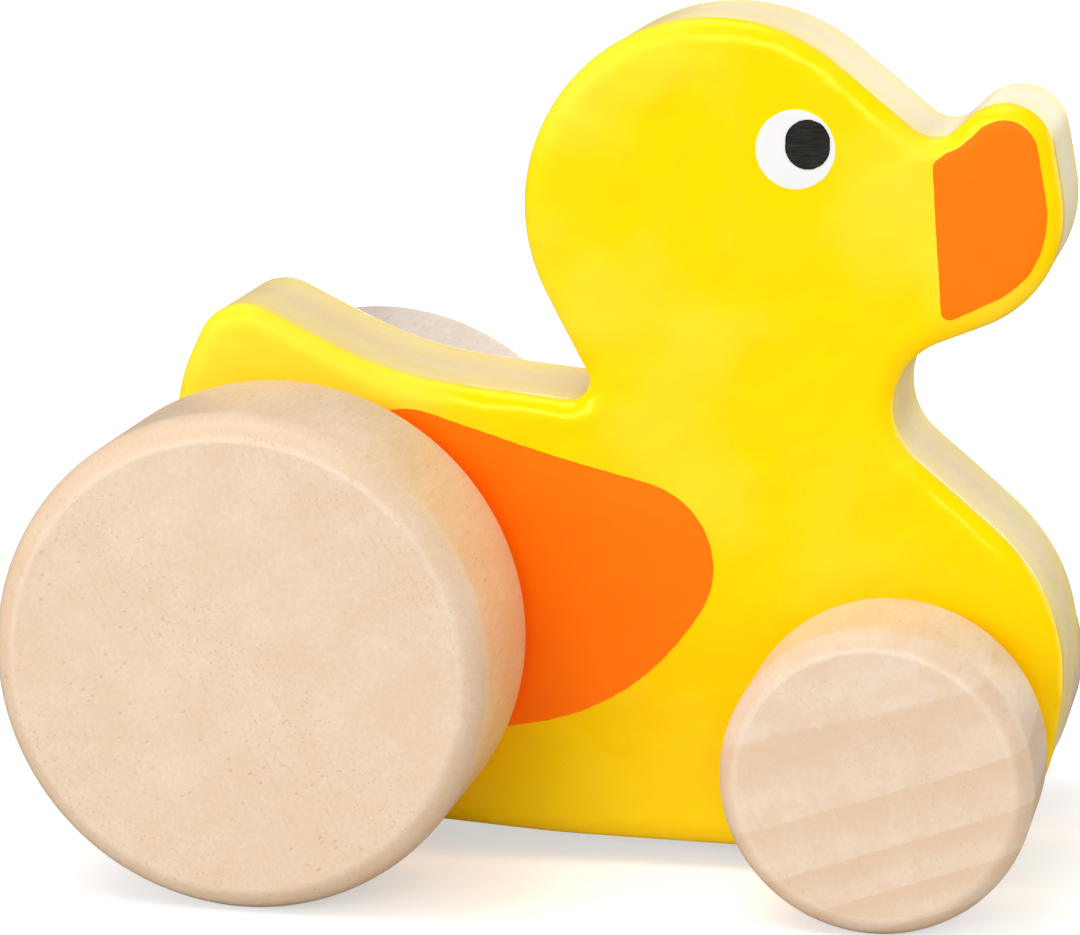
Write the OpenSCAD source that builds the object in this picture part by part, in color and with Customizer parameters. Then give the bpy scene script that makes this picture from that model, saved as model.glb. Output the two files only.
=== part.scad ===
// Wooden duck on four wheels: a flat board duck, painted on both faces, with two dowel axles that turn
// in it and a wheel glued on each axle end. The duck faces +X, its left side is +Y and +Z is up.
// The origin is on the floor, in the middle of the toy's length and width.

/* [Board] */
// Thickness of the board that the duck is sawn from
body_t = 18; // [14:0.5:24]
// Rounding between the board's faces and its rim
edge_r = 1.5; // [1:0.1:3.5]
// Radius of the back of the head
head_r = 19; // [17.5:0.5:19.5]

/* [Wheels] */
// Distance between the two axles
wheelbase = 62; // [58:0.5:64]
// Diameter of a rear wheel
rear_wheel_d = 50; // [44:0.5:54]
// Width of a rear wheel
rear_wheel_w = 19; // [14:0.5:22]
// Rounding of a rear wheel's outer edge
rear_wheel_edge = 3; // [1:0.1:5]
// Diameter of a front wheel
front_wheel_d = 30.5; // [26:0.5:34]
// Width of a front wheel
front_wheel_w = 14.5; // [12:0.5:20]
// Rounding of a front wheel's outer edge
front_wheel_edge = 2.3; // [1:0.1:4]
// Gap between the board and each wheel
wheel_gap = 3.5; // [1:0.5:6]

/* [Axles] */
// Diameter of both axle dowels
axle_d = 8; // [6:0.5:10]
// Clearance all round between a dowel and the board's hole
axle_play = 0.08; // [0.02:0.01:0.1]
// Share of a wheel's width that its blind hole takes up
hole_share = 0.6; // [0.4:0.05:0.75]

/* [Colours] */
// Thickness of the yellow paint on a face
paint_t = 0.1; // [0.05:0.05:0.2]
// Thickness of a print on the paint
print_t = 0.05; // [0.05:0.05:0.2]
// Diameter of the eye's white disc
eye_d = 7.8; // [6:0.2:9]
// Width of the oval pupil
pupil_w = 4.4; // [3:0.1:4.8]
// Height of the oval pupil
pupil_h = 4.9; // [4.9:0.1:5.5]

/* [Hidden] */

// The duck's two sides, as signs along Y
right = -1;
left = 1;

// Rounding of a wheel's inner edge, and chamfer of a dowel's ends
inner_edge = 0.8;
axle_chamfer = 0.6;

// A dowel is pressed and glued into its wheels: the blind hole is narrower all round by press,
// and glue_room is left at its bottom
press = 0.01;
glue_room = 0.5;

// Steps of an outline's arcs in degrees, steps round each rounded edge, and facets of round pieces
arc_step = 6;
edge_steps = 5;
round_fn = 96;

// The rim's ring laps into the core of the board by this much
rim_lap = 0.8;

// An outline is a belt round the circles [x, z, r], taken anticlockwise with the beak on the right.
// A positive r bulges out, a negative r is a hollow, and straight tangents join one circle to the next.
// x is measured forward from the rear axle, and z up from the floor.
chest_x = 58.5;
chest_r = 19.7;
board_outline = [
    [1, 21.5, 17],                  // rump
    [29, 63, 60.2],                 // belly
    [63.5, 16.5, 14],               // breast
    [chest_x, 21.5, chest_r],       // chest
    [68, 48.5, -7],                 // throat
    [65.5, 67.8, 11.8],             // lower beak
    [71.5, 73.9, 4.8],              // tip of the beak
    [64.7, 78.2, -3],               // dip between beak and forehead
    [43, 67.5, head_r],             // head
    [28.5, 50, -2],                 // nape
    [21, 88, -39],                  // back
    [-5, 51.5, 5.2],                // tip of the tail
    [7, 43.5, 19.5]                 // rear edge of the tail
];
wing_outline = [
    [20, 27, 13],                   // lower edge, behind the wheel
    [20, 39.3, 25.1],               // lower front
    [34.6, 31.6, 8.7],              // round front
    [41, 90.5, -50],                // hollow upper edge
    [12, 39.7, 7]                   // upper rear, behind the wheel
];
beak_outline = [
    [66.5, 58.3, 0.8],              // lower corner
    [66.2, 68.6, 10.2],             // front
    [71.7, 73.4, 3.8],              // tip
    [65.7, 72.4, 1]                 // upper corner
];

// Centres [x, z] of the eye's white disc and of the pupil
eye_at = [51.3, 73.9];
pupil_at = [52.5, 74.4];

// Places worked out from the sizes above
rear_axle_at = [0, rear_wheel_d / 2];
front_axle_at = [wheelbase, front_wheel_d / 2];
wheel_inner_y = body_t / 2 + wheel_gap;
hole_d = axle_d + 2 * axle_play;
middle_x = (chest_x + chest_r - rear_wheel_d / 2) / 2;

// Direction of the straight run from circle a to circle b
function heading(a, b) =
    atan2(b[1] - a[1], b[0] - a[0])
    - asin((b[2] - a[2]) / norm([b[0] - a[0], b[1] - a[1]]));

// Angle turned round a circle: anticlockwise round a bulge and clockwise round a hollow
function turn(from, to, r) = r > 0 ? (to - from + 720) % 360 : -((from - to + 720) % 360);

// Points of one arc, on a line that runs inset from the outline
function arc(c, from, sweep, inset) =
    let (steps = max(1, ceil(abs(sweep) / arc_step)))
    [for (k = [0:steps]) let (a = from + sweep * k / steps)
        [c[0] + (c[2] - inset) * sin(a), c[1] - (c[2] - inset) * cos(a)]];

// Points of the whole belt
function belt(circles, inset = 0) =
    let (n = len(circles))
    let (out = [for (i = [0:n - 1]) heading(circles[i], circles[(i + 1) % n])])
    [for (i = [0:n - 1]) let (from = out[(i + n - 1) % n])
        each arc(circles[i], from, turn(from, out[i], circles[i][2]), inset)];

// Rounded outer corner of a turned profile: it starts at radius r_out and height h, and rises by r
function corner(r_out, h, r) =
    [for (k = [0:edge_steps]) let (a = 90 * k / edge_steps)
        [r_out - r + r * cos(a), h + r * sin(a)]];

// Stands a drawing in x and z up on edge as a slab of thickness t from y to y + t
module slab(y, t) {
    translate([-middle_x, y + t, 0]) rotate([90, 0, 0]) linear_extrude(t) children();
}

// Lays a drawing on one face of the board, as a layer t thick that lies h above the wood
module layer(side, h, t) {
    slab(side > 0 ? body_t / 2 + h : -body_t / 2 - h - t, t) children();
}

// Turns a child that stands on z = 0 so that it points outwards along an axle, to one side
module on_axle(at, side) {
    translate([at[0] - middle_x, 0, at[1]]) rotate([-90 * side, 0, 0]) children();
}

// Flat part of the board's face
module face_drawing() {
    polygon(belt(board_outline, edge_r));
}

// The two axle holes, as seen from the side
module hole_drawing() {
    for (at = [rear_axle_at, front_axle_at])
        translate(at) circle(d = hole_d, $fn = round_fn);
}

// One line round the rounded edge: its inset from the outline and its distance from mid thickness
function edge_line(side, k) =
    let (a = 90 * k / edge_steps)
    [edge_r * (1 - cos(a)), side * (body_t / 2 - edge_r * (1 - sin(a)))];

// Ring of timber along the board's outline, rounded at both faces, that laps into the core
module rounded_rim() {
    inner = edge_r + rim_lap;
    lines = concat(
        [[inner, left * body_t / 2]],
        [for (k = [edge_steps:-1:0]) edge_line(left, k)],
        [for (k = [0:edge_steps]) edge_line(right, k)],
        [[inner, right * body_t / 2]]
    );
    points = [for (line = lines) for (p = belt(board_outline, line[0])) [p[0], line[1], p[1]]];
    n = len(belt(board_outline));
    m = len(lines);
    faces = [for (j = [0:m - 1]) for (i = [0:n - 1])
        let (next = (j + 1) % m, i2 = (i + 1) % n)
        [j * n + i, next * n + i, next * n + i2, j * n + i2]];
    translate([-middle_x, 0, 0]) polyhedron(points, faces);
}

module duck_body() {
    color("#ecdcb4") difference() {
        union() {
            rounded_rim();
            slab(-body_t / 2, body_t) polygon(belt(board_outline, edge_r + rim_lap / 2));
        }
        for (at = [rear_axle_at, front_axle_at])
            on_axle(at, left) cylinder(d = hole_d, h = 2 * body_t, center = true, $fn = round_fn);
    }
}

// Dowel with chamfered ends that reaches into the blind holes of two wheels of width w
module axle(at, w) {
    half = wheel_inner_y + hole_share * w - glue_room;
    r = axle_d / 2;
    color("#e0c8a4") on_axle(at, left) rotate_extrude($fn = round_fn) polygon([
        [0, -half], [r - axle_chamfer, -half], [r, -half + axle_chamfer],
        [r, half - axle_chamfer], [r - axle_chamfer, half], [0, half]
    ]);
}

module rear_axle() { axle(rear_axle_at, rear_wheel_w); }
module front_axle() { axle(front_axle_at, front_wheel_w); }

// Wheel with a closed, rounded outer face and a blind hole on its inner side
module wheel(at, side, d, w, edge) {
    hole_r = axle_d / 2 - press;
    hole_h = hole_share * w;
    color("#ead6ba") on_axle(at, side) translate([0, 0, wheel_inner_y]) rotate_extrude($fn = round_fn)
        polygon(concat(
            [[0, hole_h], [hole_r, hole_h], [hole_r, 0], [d / 2 - inner_edge, 0], [d / 2, inner_edge]],
            corner(d / 2, w - edge, edge),
            [[0, w]]
        ));
}

module rear_wheel(side) { wheel(rear_axle_at, side, rear_wheel_d, rear_wheel_w, rear_wheel_edge); }
module front_wheel(side) { wheel(front_axle_at, side, front_wheel_d, front_wheel_w, front_wheel_edge); }

module rear_wheel_right() { rear_wheel(right); }
module rear_wheel_left() { rear_wheel(left); }
module front_wheel_right() { front_wheel(right); }
module front_wheel_left() { front_wheel(left); }

// Yellow paint over the flat face, open round the axle holes
module yellow_paint(side) {
    color("#ffe005") layer(side, 0, paint_t) difference() {
        face_drawing();
        hole_drawing();
    }
}

module wing_print(side) {
    color("#ff7801") layer(side, paint_t, print_t) polygon(belt(wing_outline));
}

// The beak's print stops where the edge of the face starts to round
module beak_print(side) {
    color("#fe7c01") layer(side, paint_t, print_t) intersection() {
        polygon(belt(beak_outline));
        face_drawing();
    }
}

module eye_white(side) {
    color("#f5f5f5") layer(side, paint_t, print_t) translate(eye_at) circle(d = eye_d, $fn = round_fn);
}

// Upright oval: a belt round two circles, one above the other
module pupil(side) {
    r = pupil_w / 2;
    rise = (pupil_h - pupil_w) / 2;
    color("#2e2c29") layer(side, paint_t + print_t, print_t)
        translate(pupil_at) polygon(belt([[0, -rise, r], [0, rise, r]]));
}

module yellow_paint_right() { yellow_paint(right); }
module yellow_paint_left() { yellow_paint(left); }
module wing_print_right() { wing_print(right); }
module wing_print_left() { wing_print(left); }
module beak_print_right() { beak_print(right); }
module beak_print_left() { beak_print(left); }
module eye_white_right() { eye_white(right); }
module eye_white_left() { eye_white(left); }
module pupil_right() { pupil(right); }
module pupil_left() { pupil(left); }

duck_body();
rear_axle();
front_axle();
rear_wheel_right();
rear_wheel_left();
front_wheel_right();
front_wheel_left();
yellow_paint_right();
yellow_paint_left();
wing_print_right();
wing_print_left();
beak_print_right();
beak_print_left();
eye_white_right();
eye_white_left();
pupil_right();
pupil_left();
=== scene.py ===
"""Looks of the wooden duck on wheels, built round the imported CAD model. Lengths are in metres."""

import math

import bmesh
import bpy
from mathutils import Matrix, Vector, kdtree, noise


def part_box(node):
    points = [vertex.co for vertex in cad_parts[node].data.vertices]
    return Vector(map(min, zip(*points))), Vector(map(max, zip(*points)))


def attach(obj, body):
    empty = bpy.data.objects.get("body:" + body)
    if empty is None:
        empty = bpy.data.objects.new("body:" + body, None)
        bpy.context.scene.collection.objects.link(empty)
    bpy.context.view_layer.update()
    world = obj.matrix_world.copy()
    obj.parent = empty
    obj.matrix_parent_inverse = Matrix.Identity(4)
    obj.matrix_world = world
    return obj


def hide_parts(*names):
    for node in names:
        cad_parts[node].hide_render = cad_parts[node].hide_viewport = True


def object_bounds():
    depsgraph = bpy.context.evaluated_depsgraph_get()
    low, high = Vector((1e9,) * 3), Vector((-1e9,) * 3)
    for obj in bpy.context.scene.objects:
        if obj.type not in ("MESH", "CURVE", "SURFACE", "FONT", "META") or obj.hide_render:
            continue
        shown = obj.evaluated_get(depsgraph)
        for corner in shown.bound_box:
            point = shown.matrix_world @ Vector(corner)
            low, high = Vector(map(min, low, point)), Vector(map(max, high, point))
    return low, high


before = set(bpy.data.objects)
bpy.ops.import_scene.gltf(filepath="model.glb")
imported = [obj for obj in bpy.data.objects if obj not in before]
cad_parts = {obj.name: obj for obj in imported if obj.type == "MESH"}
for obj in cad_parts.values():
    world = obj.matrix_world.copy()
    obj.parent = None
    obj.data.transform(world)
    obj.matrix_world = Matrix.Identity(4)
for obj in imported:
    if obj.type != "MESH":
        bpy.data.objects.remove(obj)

cad_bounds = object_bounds()
MM = 0.001
RIGHT, LEFT = -1, 1
SIDES = {"right": RIGHT, "left": LEFT}
SAME_POINT = 1e-7               # points closer than this count as one
FEWEST_POINTS = 24              # of a loop


# ---------------------------------------------------------------- outlines read from the CAD solids

def section(node, y):
    """Where a CAD node's surface crosses the plane at y: closed loops of (x, z) points, longest first."""
    bm = bmesh.new()
    bm.from_mesh(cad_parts[node].data)
    bmesh.ops.remove_doubles(bm, verts=bm.verts, dist=SAME_POINT)
    cut = bmesh.ops.bisect_plane(
        bm, geom=bm.verts[:] + bm.edges[:] + bm.faces[:],
        plane_co=(0, y, 0), plane_no=(0, 1, 0),
    )["geom_cut"]
    edges = {e for e in cut if isinstance(e, bmesh.types.BMEdge)}
    loops = []
    while edges:
        edge = min(edges, key=lambda e: e.index)
        edges.discard(edge)
        start, vert = edge.verts
        loop = [start.co.xz, vert.co.xz]
        while vert is not start:
            edge = next(e for e in vert.link_edges if e in edges)
            edges.discard(edge)
            vert = edge.other_vert(vert)
            loop.append(vert.co.xz)
        loops.append(loop[:-1])
    bm.free()
    return sorted(loops, key=length_round, reverse=True)


def neighbours(loop):
    """Every point of a closed loop with the points before and after it."""
    return zip(loop[-1:] + loop[:-1], loop, loop[1:] + loop[:1])


def length_round(loop):
    return sum((b - a).length for a, b, _ in neighbours(loop))


def anticlockwise(loop):
    area = sum(a.cross(b) for a, b, _ in neighbours(loop))
    return loop if area > 0 else loop[::-1]


def corners_only(loop, turn=0.4):
    """The loop without the points at which it turns by less than turn degrees."""
    return [b for a, b, c in neighbours(loop) if (b - a).angle(c - b) > math.radians(turn)]


def curve_through(loop, steps=12):
    """A smooth closed curve through the points of a loop."""
    n = len(loop)
    curve = []
    for i in range(n):
        a, b, c, d = loop[i - 1], loop[i], loop[(i + 1) % n], loop[(i + 2) % n]
        ab, bc, cd = [max((q - p).length, 1e-9) ** 0.5 for p, q in ((a, b), (b, c), (c, d))]
        out = ((b - a) / ab - (c - a) / (ab + bc) + (c - b) / bc) * bc
        back = ((c - b) / bc - (d - b) / (bc + cd) + (d - c) / cd) * bc
        for k in range(steps):
            t = k / steps
            curve.append(
                b * (2 * t**3 - 3 * t**2 + 1) + out * (t**3 - 2 * t**2 + t)
                + c * (3 * t**2 - 2 * t**3) + back * (t**3 - t**2)
            )
    return curve


def even_loop(loop, step):
    """The loop with its points an even step apart."""
    total = length_round(loop)
    count = max(FEWEST_POINTS, round(total / step))
    points, along = [], 0.0
    for _, a, b in neighbours(loop):
        run = (b - a).length
        while len(points) < count and len(points) * total / count < along + run:
            points.append(a.lerp(b, (len(points) * total / count - along) / run))
        along += run
    return points


def inward(loop):
    """Unit normals of an anticlockwise loop that point into it."""
    tangents = [(c - a).normalized() for a, _, c in neighbours(loop)]
    return [Vector((-t.y, t.x)) for t in tangents]


def inset(loop, distance):
    return [p + n * distance for p, n in zip(loop, inward(loop))]


def circle(centre, radius, count):
    turns = [2 * math.pi * i / count for i in range(count)]
    return [centre + radius * Vector((math.cos(a), math.sin(a))) for a in turns]


def bores(node, y):
    """Centre and radius of each round hole that a CAD node has at y."""
    found = []
    for loop in section(node, y)[1:]:
        low = Vector((min(p.x for p in loop), min(p.y for p in loop)))
        high = Vector((max(p.x for p in loop), max(p.y for p in loop)))
        found.append(((low + high) / 2, (high.x - low.x) / 2))
    return found


# ---------------------------------------------------------------- the board: sizes and outline

face_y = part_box("duck_body")[1].y
paint_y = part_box("yellow_paint_left")[1].y
OUTLINE_STEP = 0.5 * MM
RIM_BACK = 0.03 * MM            # bare wood stays this far inside the CAD outline, so that paint covers it
EASE = 2.6 * MM                 # the rounded edge eases onto the face over this width
EDGE_DEPTH = 1.5 * MM           # and onto the rim over this depth
PAINT_DEPTH = 1.7 * MM          # the yellow paint reaches this far down the rim from each face
PAINT_FOOT = 0.08 * MM          # and its foot has this much of a bevel
EDGE_STEPS = 14
RIM_STEPS = 12
BORE_STEPS = 96
CALM = 0.25 * MM                # width of the flat border that keeps shading even beside a rounded edge

cad_outline = anticlockwise(section("duck_body", 0)[0])
outline = even_loop(curve_through(corners_only(cad_outline)), OUTLINE_STEP)
board_low, board_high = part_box("duck_body")
outline = [
    Vector((min(max(p.x, board_low.x), board_high.x), min(max(p.y, board_low.z), board_high.z)))
    for p in outline
]
board_bores = bores("duck_body", 0)


def eased(top, k, steps=EDGE_STEPS):
    """Inset and height at step k of the rounded edge that leads from the rim to a face at top."""
    a = math.pi / 2 * k / steps
    return EASE * (1 - math.cos(a)), top - EDGE_DEPTH * (1 - math.sin(a))


def paint_height(depth):
    """Height of the yellow surface at this distance inside the outline."""
    if depth >= EASE:
        return paint_y
    return paint_y - EDGE_DEPTH * (1 - math.sqrt(max(0.0, 1 - (1 - depth / EASE) ** 2)))


# ---------------------------------------------------------------- mesh building

CREASE = math.radians(35)       # edges sharper than this are shaded as creases


def at_y(loop, y):
    return [Vector((p.x, y, p.y)) for p in loop]


def add_rings(bm, rings):
    """Joins rings of equal length with quads and returns their vertices, ring by ring."""
    rows = [[bm.verts.new(p) for p in ring] for ring in rings]
    for one, two in zip(rows, rows[1:]):
        for i in range(len(one)):
            j = (i + 1) % len(one)
            bm.faces.new((one[i], one[j], two[j], two[i]))
    return rows


def fill(bm, *rows):
    """Fills the flat area between the first row and the rows inside it."""
    edges = []
    for row in rows:
        for a, b in zip(row, row[1:] + row[:1]):
            edges.append(bm.edges.get((a, b)) or bm.edges.new((a, b)))
    bmesh.ops.triangle_fill(bm, edges=edges, use_beauty=True)


def piece(bm, name, material, body, nodes):
    """Makes an object that stands for CAD nodes: faces outwards, smooth shading except across creases."""
    bmesh.ops.recalc_face_normals(bm, faces=bm.faces)
    for face in bm.faces:
        face.smooth = True
    for edge in bm.edges:
        edge.smooth = edge.calc_face_angle(0) < CREASE
    mesh = bpy.data.meshes.new(name)
    bm.to_mesh(mesh)
    bm.free()
    mesh.materials.append(material)
    made = bpy.data.objects.new(name, mesh)
    bpy.context.scene.collection.objects.link(made)
    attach(made, body)
    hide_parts(*nodes)


def add_plate(bm, lines, walls):
    """A closed plate. Lines of (inset, y) lead round its edge; walls are its round holes."""
    rows = add_rings(bm, [at_y(inset(outline, d), y) for d, y in lines])
    ends = lines[0][1], lines[-1][1]
    holes = [
        add_rings(bm, [at_y(circle(centre, radius, BORE_STEPS), y) for y in ends])
        for centre, radius in walls
    ]
    fill(bm, rows[0], *[hole[0] for hole in holes])
    fill(bm, rows[-1], *[hole[-1] for hole in holes])


def board(material):
    """The sawn board with its rounded edges and two bores."""
    bm = bmesh.new()
    edge = [eased(face_y, k) for k in range(EDGE_STEPS + 1)] + [(EASE + CALM, face_y)]
    half = face_y - EDGE_DEPTH
    rim = [(0, half * (2 * k / RIM_STEPS - 1)) for k in range(1, RIM_STEPS)]
    lines = [(d, -y) for d, y in reversed(edge)] + rim + edge
    add_plate(bm, [(d + RIM_BACK, y) for d, y in lines], board_bores)
    piece(bm, "board", material, "board", ["duck_body"])


def paint_skin(side, node, material):
    """Yellow paint on one face, over the rounded edge and a little way down the rim."""
    bm = bmesh.new()
    under = [(d + RIM_BACK, y) for d, y in (eased(face_y, k) for k in range(EDGE_STEPS + 1))]
    over = [eased(paint_y, k) for k in range(EDGE_STEPS + 1)] + [(EASE + CALM, paint_y)]
    foot = face_y - PAINT_DEPTH
    bevel = [(RIM_BACK, foot), (RIM_BACK / 2, foot), (0, foot + PAINT_FOOT)]
    lines = list(reversed(under)) + bevel + over
    add_plate(bm, [(d, side * y) for d, y in lines], board_bores)
    piece(bm, node.replace("yellow_paint", "enamel"), material, "board", [node])


DEPTH_STEP = 0.1 * MM           # between the points of the outline from which depth is measured
PRINT_STEP = 0.15 * MM          # between the points of a print's border


class Depth:
    """Distance from a point on the face to the board's outline."""

    def __init__(self):
        points = even_loop(outline, DEPTH_STEP)
        self.tree = kdtree.KDTree(len(points))
        for i, p in enumerate(points):
            self.tree.insert((p.x, 0, p.y), i)
        self.tree.balance()

    def __call__(self, p):
        return self.tree.find((p.x, 0, p.y))[2]


depth_at = Depth()


def wavered(loop, amount, pitch, seed):
    """The loop with its points moved in and out a little, as the edge of a screen print."""
    sway = [noise.noise(Vector((p.x / pitch, p.y / pitch, seed))) for p in loop]
    return [p + n * s * amount for p, n, s in zip(loop, inward(loop), sway)]


def gridded(loop, step):
    """The area inside a loop as a flat mesh of small squares: (points, faces, edges round the border)."""
    bm = bmesh.new()
    bm.faces.new([bm.verts.new(p) for p in at_y(loop, 0)])
    for axis in (0, 2):
        values = [v.co[axis] for v in bm.verts]
        count = math.ceil((max(values) - min(values)) / step)
        for k in range(1, count):
            at, normal = [0, 0, 0], [0, 0, 0]
            at[axis] = min(values) + (max(values) - min(values)) * k / count
            normal[axis] = 1
            bmesh.ops.bisect_plane(
                bm, geom=bm.verts[:] + bm.edges[:] + bm.faces[:],
                plane_co=at, plane_no=normal, dist=SAME_POINT,
            )
    bm.verts.index_update()
    points = [Vector((v.co.x, v.co.z)) for v in bm.verts]
    faces = [[v.index for v in face.verts] for face in bm.faces]
    border = [[v.index for v in edge.verts] for edge in bm.edges if edge.is_boundary]
    bm.free()
    return points, faces, border


def film(node, name, material, amount, pitch, step=0.6 * MM):
    """A thin print that lies on the paint and follows it down the rounded edge. Its border sways by
    amount about once in every pitch, and its mesh is a grid of this step."""
    side = LEFT if node.endswith("left") else RIGHT
    high = max(abs(corner.y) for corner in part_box(node))
    low = min(abs(corner.y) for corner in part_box(node))
    loop = corners_only(anticlockwise(section(node, side * (low + high) / 2)[0]))
    loop = wavered(even_loop(curve_through(loop, 8), PRINT_STEP), amount, pitch, high)
    points, faces, border = gridded(loop, step)
    bm = bmesh.new()
    rows = []
    for lift in (low - paint_y - FILM_ROOT, high - paint_y):
        ys = [side * (paint_height(depth_at(p)) + lift) for p in points]
        rows.append([bm.verts.new((p.x, y, p.y)) for p, y in zip(points, ys)])
    for row in rows:
        for face in faces:
            bm.faces.new([row[i] for i in face])
    for i, j in border:
        bm.faces.new((rows[0][i], rows[0][j], rows[1][j], rows[1][i]))
    piece(bm, name, material, "board", [node])


# ---------------------------------------------------------------- turned parts

TURN_STEPS = 192
GLUE_ROOM = 0.5 * MM            # between an axle's end and the bottom of its bore
INNER_EDGE = 0.8 * MM           # radius of a wheel's edge towards the board
BORE_EDGE = 0.4 * MM            # chamfer at the mouth of a wheel's bore
CHAMFER = 0.6 * MM              # at an axle's ends
FACE_LEAN = 18                  # degrees between a wheel's face and the start of its rounded edge
SOFT_CREASE = ((0.05 * MM, 0.012 * MM), (-0.12 * MM, 0), (-0.4 * MM, 0))    # (outwards, below the face)


def turned(name, centre, profile, material, body, node):
    """A piece turned about an axis along Y. Its profile of (radius, y) starts and ends on that axis."""
    bm = bmesh.new()
    ends = [bm.verts.new((centre.x, profile[k][1], centre.z)) for k in (0, -1)]
    rows = add_rings(bm, [at_y(circle(centre.xz, r, TURN_STEPS), y) for r, y in profile[1:-1]])
    for end, row in zip(ends, (rows[0], rows[-1])):
        for i in range(TURN_STEPS):
            bm.faces.new((end, row[i], row[(i + 1) % TURN_STEPS]))
    piece(bm, name, material, body, [node])


def arc(centre, radius, start, end, steps):
    """Points (radius, y) of an arc round centre. Angles run from the outward radius towards the face."""
    turns = [math.radians(start + (end - start) * k / steps) for k in range(steps + 1)]
    return [(centre[0] + radius * math.cos(a), centre[1] + radius * math.sin(a)) for a in turns]


def radius_of(node):
    low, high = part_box(node)
    return (high.x - low.x) / 2


def crease_radius(node, edge):
    """Radius at which a wheel's face meets the straight start of its rounded edge."""
    lean = math.radians(FACE_LEAN)
    return radius_of(node) - edge * (1 - math.sin(lean)) - edge * (1 - math.cos(lean)) / math.tan(lean)


def wheel(node, axle, edge, material):
    """A wheel with a blind bore and a round outer edge that meets the face in a soft crease."""
    low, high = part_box(node)
    side = LEFT if low.y > 0 else RIGHT
    inner, outer = sorted((abs(low.y), abs(high.y)))
    radius, bore, crease = radius_of(node), radius_of(axle), crease_radius(node, edge)
    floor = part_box(axle)[1].y + GLUE_ROOM
    inner_end, outer_end = inner + INNER_EDGE, outer - edge
    profile = [(0, floor), (bore * 0.9, floor), (bore, floor)]
    profile += [(bore, inner + BORE_EDGE), (bore + BORE_EDGE, inner), (radius * 0.5, inner)]
    profile += arc((radius - INNER_EDGE, inner_end), INNER_EDGE, -90, 0, 5)
    profile += [(radius, inner_end + (outer_end - inner_end) * k / 8) for k in range(1, 8)]
    profile += arc((radius - edge, outer_end), edge, 0, 90 - FACE_LEAN, 14)
    profile += [(crease + out, outer - drop) for out, drop in SOFT_CREASE]
    profile += [(crease * k / 12, outer) for k in range(11, 0, -1)] + [(0, outer)]
    body = "rear_wheelset" if axle == "rear_axle" else "front_wheelset"
    end, place, hand = node.split("_")
    profile = [(r, side * y) for r, y in profile]
    turned(f"{end}_{hand}_{place}", (low + high) / 2, profile, material, body, node)


def dowel(node, body, material):
    """An axle with a small chamfer at both ends."""
    low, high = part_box(node)
    radius, end, shoulder = radius_of(node), high.y, high.y - CHAMFER
    half = [(0, end), (radius * 0.5, end), (radius - CHAMFER, end), (radius, shoulder)]
    half += [(radius, shoulder * k / 10) for k in range(9, 0, -1)]
    profile = [(r, -y) for r, y in half] + [(radius, 0)] + half[::-1]
    turned(node.replace("axle", "dowel"), (low + high) / 2, profile, material, body, node)


# ---------------------------------------------------------------- material building

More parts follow.
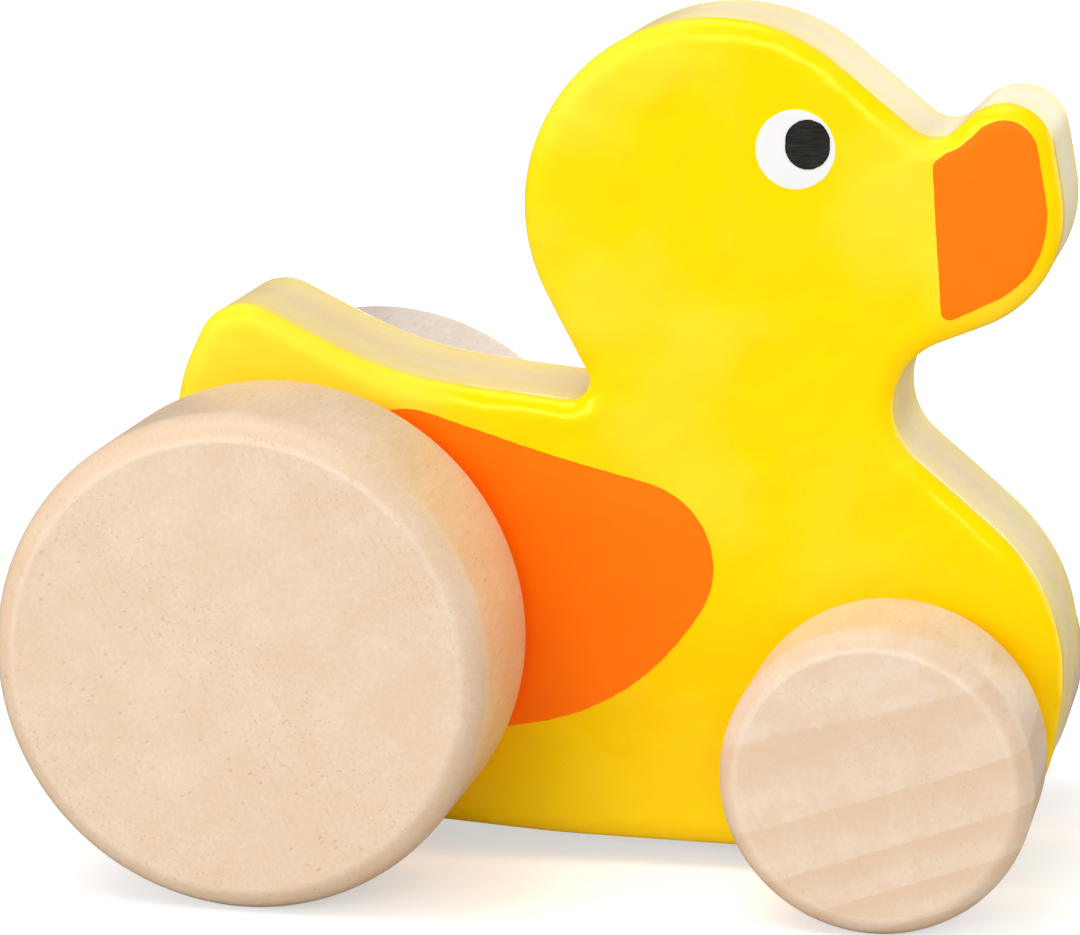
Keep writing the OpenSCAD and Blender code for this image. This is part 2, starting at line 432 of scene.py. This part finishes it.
class Recipe:
    """A node material under construction. Inputs may be numbers, colours, vectors or sockets.
    Patterns are laid out in mm, so a factor of 0.25 makes them about 4 mm wide in that direction."""

    def __init__(self, name):
        self.material = bpy.data.materials.new(name)
        self.material.use_nodes = True
        self.nodes = self.material.node_tree.nodes
        self.links = self.material.node_tree.links
        self.surface = self.nodes["Principled BSDF"]
        where = {0: self.add("ShaderNodeTexCoord").outputs["Object"], "Scale": 1 / MM}
        self.at = self.add("ShaderNodeVectorMath", where, operation="SCALE").outputs[0]

    def add(self, kind, inputs=(), **settings):
        node = self.nodes.new(kind)
        for key, value in settings.items():
            setattr(node, key, value)
        self.set(node, dict(inputs))
        return node

    def set(self, node, inputs):
        for key, value in inputs.items():
            if isinstance(value, bpy.types.NodeSocket):
                self.links.new(value, node.inputs[key])
            else:
                node.inputs[key].default_value = value

    def sum(self, a, b):
        return self.add("ShaderNodeMath", {0: a, 1: b}, operation="ADD").outputs[0]

    def times(self, a, b):
        return self.add("ShaderNodeMath", {0: a, 1: b}, operation="MULTIPLY").outputs[0]

    def measure(self, value, operation):
        return self.add("ShaderNodeMath", {0: value}, operation=operation).outputs[0]

    def along(self, vector, direction):
        inputs = {0: vector, 1: direction}
        return self.add("ShaderNodeVectorMath", inputs, operation="DOT_PRODUCT").outputs["Value"]

    def stretched(self, vector, *factors):
        return self.add("ShaderNodeVectorMath", {0: vector, 1: factors}, operation="MULTIPLY").outputs[0]

    def mix(self, factor, a, b):
        """Mixes two colours, which this node takes at inputs 6 and 7 and gives at output 2."""
        return self.add("ShaderNodeMix", {0: factor, 6: a, 7: b}, data_type="RGBA").outputs[2]

    def step(self, value, low, high, to_low=0.0, to_high=1.0):
        """Maps low..high to to_low..to_high along a smooth step that is held at both ends."""
        inputs = {"Value": value, "From Min": low, "From Max": high, "To Min": to_low, "To Max": to_high}
        return self.add("ShaderNodeMapRange", inputs, interpolation_type="SMOOTHSTEP").outputs["Result"]

    def noise(self, vector, scale=1.0, detail=2.0, roughness=0.5):
        inputs = {"Vector": vector, "Scale": scale, "Detail": detail, "Roughness": roughness}
        return self.add("ShaderNodeTexNoise", inputs).outputs["Fac"]

    def specks(self, vector, size, keep):
        """Small soft dots, one in each cell of a random pattern, of which this share is kept."""
        cells = self.add("ShaderNodeTexVoronoi", {"Vector": vector, "Scale": 1.0})
        pick = self.add("ShaderNodeSeparateColor", {"Color": cells.outputs["Color"]}).outputs[0]
        dots = self.step(cells.outputs["Distance"], size, size * 0.4)
        return self.times(dots, self.step(pick, 1 - keep - 0.02, 1 - keep + 0.02))

    def add_painted_glow(self, colour):
        """Painted glow: the surface emits its colour to diffuse rays only, so that it lights the pieces
        beside it more than it reflects.
        """
        painted_glow = self.times(self.add("ShaderNodeLightPath").outputs["Is Diffuse Ray"], PAINTED_GLOW_SHARE)
        self.set(self.surface, {"Emission Color": colour, "Emission Strength": painted_glow})
        self.material.cycles.emission_sampling = "NONE"

    def bump(self, height, strength, distance, normal=None):
        inputs = {"Height": height, "Strength": strength, "Distance": distance}
        if normal:
            inputs["Normal"] = normal
        return self.add("ShaderNodeBump", inputs).outputs["Normal"]


def rgb(red, green, blue):
    """A colour given by the 0 to 255 values that a screen shows."""
    def linear(value):
        value /= 255
        return value / 12.92 if value <= 0.04045 else ((value + 0.055) / 1.055) ** 2.4
    return (linear(red), linear(green), linear(blue), 1.0)


def beech(
    r, grain, radial, pale, tan, ring, ring_show, fleck, start=0.0, taper=0.0, speckle=0.3, seed=0.0
):
    """Beech on recipe r: growth layers along radial, about ring (mm) wide and wider by taper further out.
    Fibres, ray flecks and pores run along grain. Returns colour, surface height and fibre pattern."""
    grain = Vector(grain).normalized()
    radial = (Vector(radial) - grain * Vector(radial).dot(grain)).normalized()
    inputs = {
        "X": r.sum(r.along(r.at, grain), seed),
        "Y": r.along(r.at, radial),
        "Z": r.along(r.at, grain.cross(radial)),
    }
    wood = r.add("ShaderNodeCombineXYZ", inputs).outputs[0]

    # each growth layer darkens slowly outwards and ends at a sharper, slightly ragged line
    wander = r.noise(r.stretched(wood, 0.01, 0.03, 0.018), detail=1.0)
    ragged = r.noise(r.stretched(wood, 0.3, 0.5, 1.3), detail=2.0)
    out = r.along(wood, (0, 1, 0))
    layer = r.times(out, r.sum(r.times(out, -taper), 1 / ring))
    layer = r.sum(r.sum(layer, start), r.times(r.sum(wander, -0.5), 1.2))
    layer = r.measure(r.sum(layer, r.times(ragged, 0.07)), "FRACT")
    late = r.times(r.step(layer, 0.25, 0.93), r.step(layer, 1.0, 0.94))

    fibre = r.noise(r.stretched(wood, 0.25, 2.2, 2.2), detail=4.0, roughness=0.85)
    cloud = r.noise(r.stretched(wood, 0.05, 0.09, 0.09), detail=6.0, roughness=0.7)
    tone = r.sum(r.times(late, ring_show), r.step(fibre, 0.3, 0.7, 0.0, speckle))
    tone = r.sum(tone, r.step(cloud, 0.3, 0.7, 0.0, 0.4))
    colour = r.mix(tone, pale, tan)

    # warmer patches
    blush = (tan[0] * 1.02, tan[1] * 0.97, tan[2] * 0.92, 1.0)
    mottle = r.noise(r.stretched(wood, 0.12, 0.25, 0.25), detail=4.0, roughness=0.7)
    colour = r.mix(r.step(mottle, 0.4, 0.62, 0.0, 0.4), colour, blush)

    # short ray flecks, fine pores and small dents from handling, all browner and a little sunk
    rays = r.specks(r.stretched(wood, 0.6, 0.35, 3.0), 0.45, 0.14)
    pores = r.specks(r.stretched(wood, 0.7, 3.0, 3.0), 0.4, 0.08)
    dents = r.specks(r.stretched(wood, 0.22, 1.2, 0.9), 0.26, 0.09)
    brown = (tan[0] * 0.72, tan[1] * 0.56, tan[2] * 0.42, 1.0)
    colour = r.mix(r.times(rays, fleck * 0.2), colour, brown)
    colour = r.mix(r.times(r.sum(pores, r.times(dents, 0.8)), fleck * 0.8), colour, brown)
    height = r.sum(r.times(fibre, 0.4), r.times(r.sum(r.sum(rays, pores), r.times(dents, 3.0)), -0.5))
    return colour, height, fibre


def band(r, distance, start, full, fade, end):
    """1 where distance lies between full and fade, 0 before start and after end."""
    return r.times(r.step(distance, start, full), r.step(distance, end, fade))


def painted_wheel_edge_light(r, wheel_node, axle, edge, colour, rough):
    """Painted light round a wheel's edge: a pale ring where the face ends, painted as a highlight and
    made a little smoother, and a browner round edge, painted as shade.
    """
    low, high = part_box(axle)
    centre = (low + high) / 2 / MM
    offset = r.add("ShaderNodeVectorMath", {0: r.at, 1: centre}, operation="SUBTRACT").outputs[0]
    offset = r.stretched(offset, 1, 0, 1)
    distance = r.add("ShaderNodeVectorMath", {0: offset}, operation="LENGTH").outputs["Value"]
    distance = r.sum(distance, r.times(r.sum(r.noise(r.at, 0.5), -0.5), 0.4))
    crease, rim = crease_radius(wheel_node, edge) / MM, radius_of(wheel_node) / MM
    # painted highlight: a pale ring where the face meets the rounded edge
    painted_highlight_ring = band(r, distance, crease - 0.3, crease, crease + 0.1, crease + 0.7)
    # painted shade: the rounded edge beyond the ring is browned
    painted_shade_edge = band(r, distance, crease + 0.1, crease + 0.9, rim - 0.5, rim + 0.1)
    colour = r.mix(r.times(painted_shade_edge, PAINTED_SHADE_SHARE), colour, PAINTED_SHADE_COLOUR)
    colour = r.mix(r.times(painted_highlight_ring, PAINTED_HIGHLIGHT_SHARE), colour, PAINTED_HIGHLIGHT_COLOUR)
    return colour, r.sum(rough, r.times(painted_highlight_ring, -0.05))


def bare_wood(name, roughness=0.5, wear_and_painted_edge_light=None, **look):
    """Bare beech. A wheel passes (wheel node, axle, edge) after roughness, and its edge then gets a
    painted highlight ring and painted shade.
    """
    r = Recipe(name)
    colour, height, fibre = beech(r, **look)
    rough = r.step(fibre, 0.2, 0.8, roughness - 0.06, roughness + 0.08)
    if wear_and_painted_edge_light:
        colour, rough = painted_wheel_edge_light(r, *wear_and_painted_edge_light, colour, rough)
    r.set(r.surface, {
        "Base Color": colour,
        "Roughness": rough,
        "Specular IOR Level": 0.3,
        "Normal": r.bump(height, 0.4, 0.06 * MM),
    })
    return r.material


RIM_LOOK = dict(
    grain=(1, 0, 0.12), radial=(0, 1, 0.3), pale=rgb(228, 211, 162), tan=rgb(221, 195, 140),
    ring=6.0, ring_show=0.15, fleck=0.2, speckle=0.2,
)


def mist(r, depth, start, end):
    """Share of paint or overspray on the rim: full at start, gone by end, with an uneven limit."""
    uneven = r.sum(depth, r.times(r.sum(r.noise(r.at, 0.9), -0.5), 0.5))
    return r.step(uneven, end / MM, start / MM)


def half_width(r):
    """Distance from the middle of the board, in mm."""
    return r.measure(r.along(r.at, (0, 1, 0)), "ABSOLUTE")


def rim_wood():
    """Bare beech of the rim, with a faint yellow overspray beside the paint."""
    r = Recipe("rim_beech")
    colour, height, fibre = beech(r, **RIM_LOOK)
    beak = r.along(r.at, (1, 0, 1))
    paler = r.step(beak, BEAK_REACH - 25, BEAK_REACH - 5, 0.0, 0.75)
    colour = r.mix(paler, colour, BEAK_PALE)
    tint = r.times(mist(r, half_width(r), face_y - PAINT_DEPTH, 0), OVERSPRAY)
    r.set(r.surface, {
        "Base Color": r.mix(tint, colour, SPRAY),
        "Roughness": r.step(fibre, 0.2, 0.8, 0.4, 0.52),
        "Specular IOR Level": 0.12,
        "Normal": r.bump(height, 0.3, 0.05 * MM),
    })
    return r.material


def yellow_paint():
    """Glossy sprayed enamel, slightly wavy and blotchy, that thins out to wood at its foot on the rim.
    Its pale blotches grow stronger higher up, partly as painted sheen; it deepens lower down as painted
    shade, and it has a painted glow.
    """
    r = Recipe("yellow_enamel")
    wood = beech(r, **RIM_LOOK)[0]
    rise = r.along(r.at, (0, 0, 1))
    patches = r.step(r.noise(r.at, 0.06, detail=1.5), 0.42, 0.7)
    # pale patches, faint low down and full higher up: partly uneven paint, partly painted sheen
    soft = r.times(patches, r.step(rise, *PATCH_AND_SHEEN_FROM, 0.1, 1.0))
    # a deeper yellow towards the bottom: painted shade
    paint = r.mix(r.step(rise, *PAINTED_SHADE_FROM), YELLOW, YELLOW_PAINTED_SHADE)
    paint = r.mix(soft, paint, YELLOW_PATCH_AND_SHEEN)
    cover = mist(r, half_width(r), face_y - 0.45 * PAINT_DEPTH, face_y - 1.05 * PAINT_DEPTH)
    wave = r.bump(r.noise(r.at, 0.12, detail=2.0), 0.9, 0.8 * MM)
    fine = r.bump(r.noise(r.stretched(r.at, 0.5, 1, 2.4), detail=2.0), 0.12, 0.05 * MM, wave)
    r.set(r.surface, {
        "Base Color": r.mix(cover, r.mix(OVERSPRAY, wood, SPRAY), paint),
        "Roughness": r.step(r.noise(r.at, 0.06), 0.4, 0.6, 0.2, 0.42),
        "Normal": fine,
        "Specular Tint": rgb(255, 243, 130),
    })
    r.add_painted_glow(YELLOW)
    return r.material


def ink(name, colour, wear_and_painted_edge_light, roughness=0.42, streak=0.15):
    """Printed colour: satin, a little uneven, with fine level streaks left by the squeegee."""
    r = Recipe(name)
    cloud = r.noise(r.at, 0.25, detail=3.0)
    lines = r.noise(r.stretched(r.at, 0.6, 1.0, 9.0), detail=2.0, roughness=0.6)
    tone = r.sum(r.step(cloud, 0.3, 0.7, 0.0, 0.35), r.step(lines, 0.4, 0.7, 0.0, streak))
    grain = r.bump(r.noise(r.at, 5.0, detail=2.0), 0.15, 0.03 * MM)
    r.set(r.surface, {
        "Base Color": r.mix(tone, colour, wear_and_painted_edge_light),
        "Roughness": r.step(lines, 0.3, 0.7, roughness - 0.05, roughness + 0.06),
        "Normal": r.bump(lines, 0.2, 0.02 * MM, grain),
        "Specular Tint": r.mix(0.2, colour, (1, 1, 1, 1)),
    })
    r.add_painted_glow(colour)
    return r.material


# ---------------------------------------------------------------- the object

REAR_EDGE = 3.0 * MM            # radius of a wheel's outer edge
FRONT_EDGE = 2.3 * MM
FILM_ROOT = 0.02 * MM           # prints are keyed into the paint by this much

PAINTED_GLOW_SHARE = 0.5                    # painted glow: share of its colour that paint and ink emit to diffuse rays, on top of what they reflect
YELLOW = rgb(255, 211, 0)
YELLOW_PATCH_AND_SHEEN = rgb(255, 216, 48)
YELLOW_PAINTED_SHADE = rgb(246, 203, 0)
PATCH_AND_SHEEN_FROM = (25, 50)            # heights in mm between which the paint's pale patches grow from faint to full: partly uneven paint, partly painted sheen
PAINTED_SHADE_FROM = (40, 12)            # and, going down, between which it darkens to a deeper yellow as painted shade
BEAK_REACH = max(p.x + p.y for p in outline) / MM     # distance forwards plus upwards of the beak's tip
BEAK_PALE = rgb(238, 228, 202)
SPRAY = rgb(238, 216, 89)
OVERSPRAY = 0.42
# painted highlight ring and painted shade on the wheels' edges
PAINTED_HIGHLIGHT_COLOUR = rgb(231, 222, 207)
PAINTED_HIGHLIGHT_SHARE = 0.12
PAINTED_SHADE_COLOUR = rgb(196, 158, 118)
PAINTED_SHADE_SHARE = 0.22

bare_rim = rim_wood()
enamel = yellow_paint()
orange = ink("orange_ink", rgb(255, 119, 0), rgb(255, 111, 0))
white = ink("white_ink", rgb(228, 228, 228), rgb(221, 221, 222), roughness=0.4)
black = ink("black_ink", rgb(27, 26, 23), rgb(48, 46, 42), roughness=0.55, streak=0.9)
REAR_LOOK = dict(
    wear_and_painted_edge_light=("rear_wheel_right", "rear_axle", REAR_EDGE), roughness=0.42,
    grain=(0.05, 1, 0.05), ring=11.0, ring_show=0.12, fleck=0.5, speckle=0.75,
)
FRONT_LOOK = dict(
    wear_and_painted_edge_light=("front_wheel_right", "front_axle", FRONT_EDGE), roughness=0.42,
    grain=(0.04, 1, 0.06), pale=rgb(224, 207, 187), tan=rgb(213, 185, 156), ring=5.5, taper=0.0044,
    ring_show=0.6, fleck=0.3, speckle=0.35,
)
wheel_wood = {
    "rear_wheel_right": bare_wood(
        "rear_right_beech", radial=(0.5, 0, -0.87),
        pale=rgb(225, 205, 182), tan=rgb(215, 189, 161), **REAR_LOOK
    ),
    # The left rear wheel has darker, greyer wood than the right one: partly a different piece of beech,
    # partly painted shade, as it is the far wheel in the main view.
    "rear_wheel_left": bare_wood(
        "rear_left_beech", radial=(0.9, 0, 0.4), seed=90.0,
        pale=rgb(212, 201, 190), tan=rgb(203, 188, 174), **REAR_LOOK
    ),
    "front_wheel_right": bare_wood(
        "front_right_beech", radial=(-0.355, 0, 0.935), start=0.59, **FRONT_LOOK
    ),
    "front_wheel_left": bare_wood(
        "front_left_beech", radial=(0.7, 0, 0.7), seed=60.0, **FRONT_LOOK
    ),
}
dowel_wood = bare_wood(
    "dowel_beech", grain=(0, 1, 0), radial=(1, 0, 0.4), pale=rgb(215, 192, 160), tan=rgb(192, 162, 126),
    ring=2.5, ring_show=0.4, fleck=0.35, roughness=0.6,
)

board(bare_rim)
for hand, side in SIDES.items():
    paint_skin(side, f"yellow_paint_{hand}", enamel)
    film(f"wing_print_{hand}", f"wing_{hand}", orange, 0.06 * MM, 1.3 * MM, 1.0 * MM)
    film(f"beak_print_{hand}", f"beak_{hand}", orange, 0.04 * MM, 1.3 * MM)
    film(f"eye_white_{hand}", f"eye_{hand}", white, 0.04 * MM, 0.8 * MM)
    film(f"pupil_{hand}", f"pupil_dot_{hand}", black, 0.05 * MM, 0.3 * MM)
    for end, edge in (("rear", REAR_EDGE), ("front", FRONT_EDGE)):
        wheel(f"{end}_wheel_{hand}", f"{end}_axle", edge, wheel_wood[f"{end}_wheel_{hand}"])
dowel("rear_axle", "rear_wheelset", dowel_wood)
dowel("front_axle", "front_wheelset", dowel_wood)


# ---------------------------------------------------------------- floor, light and camera

def studio_floor():
    """A wide pale floor with a faint unevenness."""
    r = Recipe("studio_floor")
    patch = r.noise(r.at, 0.01, detail=2.0)
    seen = r.add("ShaderNodeLightPath").outputs["Is Camera Ray"]
    distance = r.add("ShaderNodeVectorMath", {0: r.at}, operation="LENGTH").outputs["Value"]
    glow = r.step(distance, 150, 600, FLOOR_SEEN, FAR_FLOOR_SEEN)
    r.set(r.surface, {
        "Base Color": r.mix(patch, rgb(207, 207, 207), rgb(203, 203, 204)),
        "Roughness": 0.8,
        "Specular IOR Level": 0.1,
        "Emission Color": (1, 1, 1, 1),
        "Emission Strength": r.times(seen, glow),
    })
    mesh = bpy.data.meshes.new("floor")
    bm = bmesh.new()
    bmesh.ops.create_circle(bm, cap_ends=True, segments=FLOOR_STEPS, radius=FLOOR_RADIUS)
    bm.to_mesh(mesh)
    bm.free()
    mesh.materials.append(r.material)
    floor = bpy.data.objects.new("floor", mesh)
    floor.location.z = cad_bounds[0][2] - FLOOR_GAP
    bpy.context.scene.collection.objects.link(floor)
    floor.visible_glossy = False


def studio_world():
    """White surroundings: the camera sees them white, and they light the object more softly."""
    world = bpy.data.worlds.new("studio")
    bpy.context.scene.world = world
    world.use_nodes = True
    nodes, links = world.node_tree.nodes, world.node_tree.links
    background = nodes["Background"]
    background.inputs["Color"].default_value = (1, 1, 1, 1)
    path = nodes.new("ShaderNodeLightPath")
    diffuse = nodes.new("ShaderNodeValue")
    diffuse.outputs[0].default_value = WORLD_LIGHT
    strength = diffuse.outputs[0]
    for ray, level in (("Is Glossy Ray", WORLD_REFLECTED), ("Is Camera Ray", WORLD_SEEN)):
        pick = nodes.new("ShaderNodeMix")
        links.new(path.outputs[ray], pick.inputs["Factor"])
        links.new(strength, pick.inputs["A"])
        pick.inputs["B"].default_value = level
        strength = pick.outputs["Result"]
    links.new(strength, background.inputs["Strength"])


def soft_light(name, position, power, width, height):
    """A softbox aimed at the middle of the object. The position is from there; the power is in watts."""
    lamp = bpy.data.lights.new(name, "AREA")
    lamp.energy = power
    lamp.shape = "RECTANGLE"
    lamp.size, lamp.size_y = width, height
    light = bpy.data.objects.new(name, lamp)
    light.location = middle + Vector(position)
    light.rotation_euler = (-Vector(position)).to_track_quat("-Z", "Y").to_euler()
    bpy.context.scene.collection.objects.link(light)


def look_from(azimuth, elevation, roll, distance, target, lens):
    """The camera. Azimuth 0 looks along +Y, and angles are degrees."""
    a, e = math.radians(azimuth), math.radians(elevation)
    out = Vector((math.sin(a) * math.cos(e), -math.cos(a) * math.cos(e), math.sin(e)))
    camera = bpy.data.objects.new("camera", bpy.data.cameras.new("camera"))
    camera.data.lens = lens
    camera.data.sensor_width = 36
    camera.data.clip_start = 0.01
    camera.location = target + out * distance
    turn = (-out).to_track_quat("-Z", "Y").to_matrix() @ Matrix.Rotation(math.radians(roll), 3, "Z")
    camera.rotation_euler = turn.to_euler()
    bpy.context.scene.collection.objects.link(camera)
    bpy.context.scene.camera = camera


FLOOR_RADIUS = 6.0
FLOOR_STEPS = 96
FLOOR_GAP = 0.02 * MM
WORLD_LIGHT = 0.54
WORLD_REFLECTED = 0.03
WORLD_SEEN = 1.05
FLOOR_SEEN = 0.5                # extra brightness that only the camera sees, as in a cut-out picture
FAR_FLOOR_SEEN = 0.9

middle = (Vector(cad_bounds[0]) + Vector(cad_bounds[1])) / 2
studio_floor()
studio_world()
soft_light("strip_light", (-0.45, -1.35, 0.52), 16.5, 2.2, 0.3)
soft_light("top_light", (-0.35, -0.35, 1.5), 12.5, 1.0, 1.0)
soft_light("side_light", (1.45, 0.35, 0.05), 11, 1.2, 1.2)
soft_light("back_light", (0.4, 1.45, 0.25), 7, 1.6, 0.4)
look_from(
    azimuth=12.44, elevation=12.51, roll=-0.39, distance=0.4297,
    target=middle + Vector((-2.9, 0, -4.1)) * MM, lens=139.95,
)
bpy.context.scene.view_settings.view_transform = "Standard"
